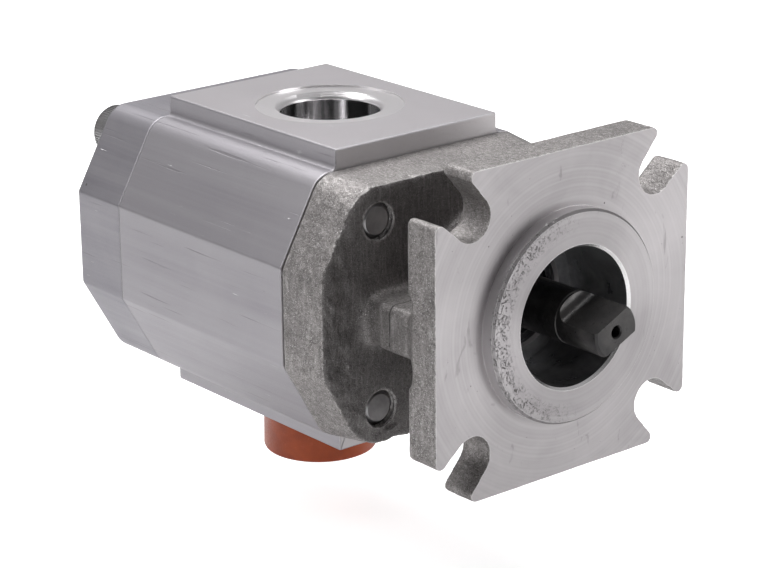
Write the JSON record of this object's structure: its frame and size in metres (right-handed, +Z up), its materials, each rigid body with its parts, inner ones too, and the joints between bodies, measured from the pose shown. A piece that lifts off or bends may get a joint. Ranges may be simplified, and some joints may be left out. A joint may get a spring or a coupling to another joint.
{
  "type": "hydraulic gear pump",
  "caption": "External gear pump with a square open-slot mounting flange, two-flat tang shaft in an open pilot bore, octagonal body with port pads above and below, and a bolted rear cover.",
  "frame": {"origin": "where the drive shaft's axis crosses the flange's mounting face", "axes": "+X along the drive shaft, out of the pump; +Z up, out of the open port; the driven gear lies towards -Y"},
  "size_m": [0.2422, 0.1459, 0.1495],
  "materials": {
    "cast_iron_cover": "rough cast, faces machined",
    "extruded_aluminium": "satin extruded, pads machined",
    "bearing_alloy": "machined",
    "black_oxide_steel": "black oxide, semi-gloss",
    "bronze": "sintered bronze lining",
    "black_rubber": "nitrile rubber",
    "white_nylon": "nylon",
    "bright_steel": "ground or plated steel",
    "bolt_steel": "phosphated",
    "orange_plastic": "moulded, satin"
  },
  "bodies": {
    "housing": {"front_cover": "cast_iron_cover", "pump_body": "extruded_aluminium", "rear_cover": "extruded_aluminium", "front_bearing_block": "bearing_alloy", "rear_bearing_block": "bearing_alloy", "front_pressure_seal": "black_rubber", "rear_pressure_seal": "black_rubber", "front_backup_ring": "white_nylon", "rear_backup_ring": "white_nylon", "drive_front_bush": "bronze", "driven_front_bush": "bronze", "drive_rear_bush": "bronze", "driven_rear_bush": "bronze", "front_body_seal": "black_rubber", "rear_body_seal": "black_rubber", "shaft_seal_case": "bright_steel", "shaft_seal_lip": "black_rubber", "shaft_seal_spring": "bright_steel", "seal_retaining_ring": "bright_steel", "through_bolts": "bolt_steel", "front_dowels": "bright_steel", "rear_dowels": "bright_steel"},
    "drive_shaft": {"drive_gear_shaft": "black_oxide_steel"},
    "driven_shaft": {"driven_gear_shaft": "black_oxide_steel"},
    "transport_plug": {"port_transport_plug": "orange_plastic", "plug_seal_ring": "black_rubber"}
  },
  "joints": [
    {"name": "drive_spin", "type": "hinge", "parent": "housing", "child": "drive_shaft", "pos_m": [0, 0, 0], "axis": [1, 0, 0], "continuous": true},
    {"name": "driven_spin", "type": "hinge", "parent": "housing", "child": "driven_shaft", "pos_m": [0, -0.03175, 0], "axis": [1, 0, 0], "continuous": true},
    {"name": "plug_lift", "type": "slide", "parent": "housing", "child": "transport_plug", "axis": [0, 0, -1], "range_m": [0, 0.03]}
  ],
  "couplings": [
    {"joint": "driven_spin", "follows": "drive_spin", "ratio": -1}
  ]
}
